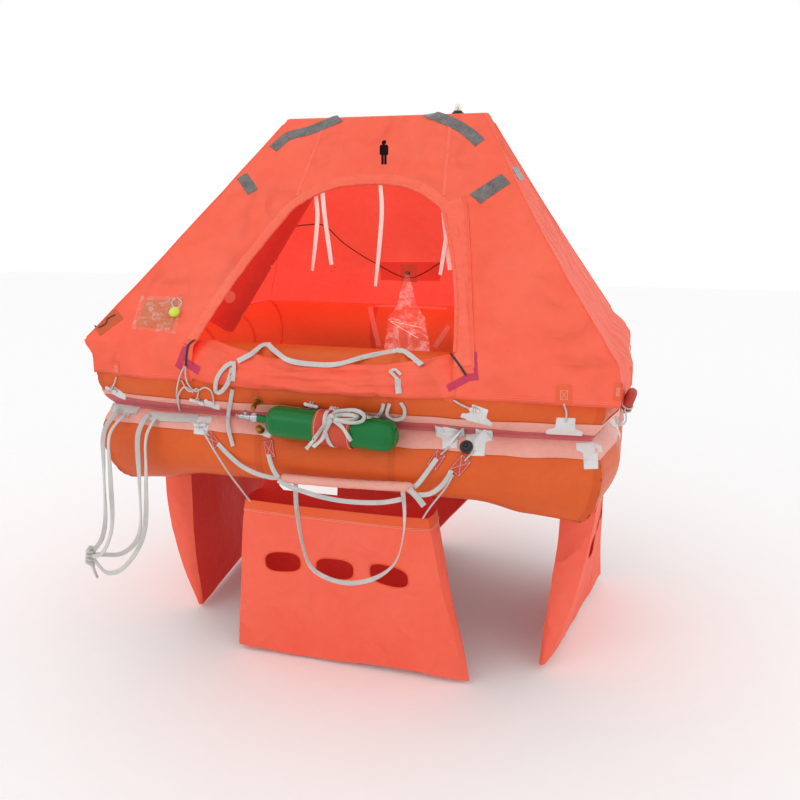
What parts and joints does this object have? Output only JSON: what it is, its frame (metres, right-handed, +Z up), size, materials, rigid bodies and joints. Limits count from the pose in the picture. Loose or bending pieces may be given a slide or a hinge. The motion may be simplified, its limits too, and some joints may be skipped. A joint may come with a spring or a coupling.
{
  "type": "life raft",
  "caption": "Small inflatable life raft with stacked buoyancy tubes, an arch-held canopy with an open door, hanging ballast pockets, a gas cylinder and a boarding ladder",
  "frame": {"origin": "middle of the raft in plan, on its laden waterline, the plane where the two buoyancy tubes meet", "axes": "+Z up, -Y towards the door, +X to the right of a person who faces the door"},
  "size_m": [1.8533, 1.4795, 1.9202],
  "materials": {
    "tube_fabric": "coated orange tube fabric, satin",
    "canopy_fabric": "coated coral canopy cloth, fine weave",
    "pocket_fabric": "coated coral pocket cloth",
    "arch_fabric": "coated red tube fabric",
    "band_fabric": "pale pink reinforcement strip",
    "floor_fabric": "coated dark floor sheet",
    "webbing": "woven white polyester webbing",
    "gas_green": "glossy green enamel",
    "steel": "plated steel",
    "sleeve_fabric": "brick red holding sleeve",
    "brass": "turned brass",
    "black_plastic": "moulded black plastic",
    "lens": "clear lamp lens",
    "lamp_yellow": "yellow-green signal bulb",
    "label_fabric": "tan-orange patch cloth, plain",
    "quoit_rubber": "dark red rubber",
    "clear_film": "clear crinkled film"
  },
  "bodies": {
    "root": {"upper_tube_front": "tube_fabric", "upper_tube_right": "tube_fabric", "upper_tube_back": "tube_fabric", "upper_tube_left": "tube_fabric", "lower_tube_front": "tube_fabric", "lower_tube_right": "tube_fabric", "lower_tube_back": "tube_fabric", "lower_tube_left": "tube_fabric", "upper_band": "band_fabric", "lower_band": "band_fabric", "raft_floor": "floor_fabric", "arch_crown": "arch_fabric", "arch_leg_left": "arch_fabric", "arch_leg_right": "arch_fabric", "canopy_front_left": "canopy_fabric", "canopy_front_right": "canopy_fabric", "canopy_front_top": "canopy_fabric", "canopy_back": "canopy_fabric", "canopy_left": "canopy_fabric", "canopy_right": "canopy_fabric", "door_flap": "canopy_fabric", "gas_cylinder": "gas_green", "cylinder_valve": "steel", "cylinder_sleeve": "sleeve_fabric", "inflation_valve_upper": "brass", "inflation_valve_lower": "brass", "relief_valve": "black_plastic", "pocket_front": "pocket_fabric", "pocket_right": "pocket_fabric", "pocket_back": "pocket_fabric", "pocket_left": "pocket_fabric", "mooring_strand_1": "webbing", "mooring_strand_2": "webbing", "mooring_strand_3": "webbing", "mooring_strand_4": "webbing", "mooring_knot": "webbing", "ladder_step": "band_fabric", "ladder_stirrup": "webbing", "ladder_bridle_left": "webbing", "ladder_bridle_right": "webbing", "roof_lamp_base": "black_plastic", "roof_lamp_lens": "lens", "rescue_quoit": "quoit_rubber", "label_pouch": "label_fabric", "hip_pouch": "label_fabric", "signal_bulb": "lamp_yellow", "rain_bag": "clear_film"}
  },
  "joints": []
}
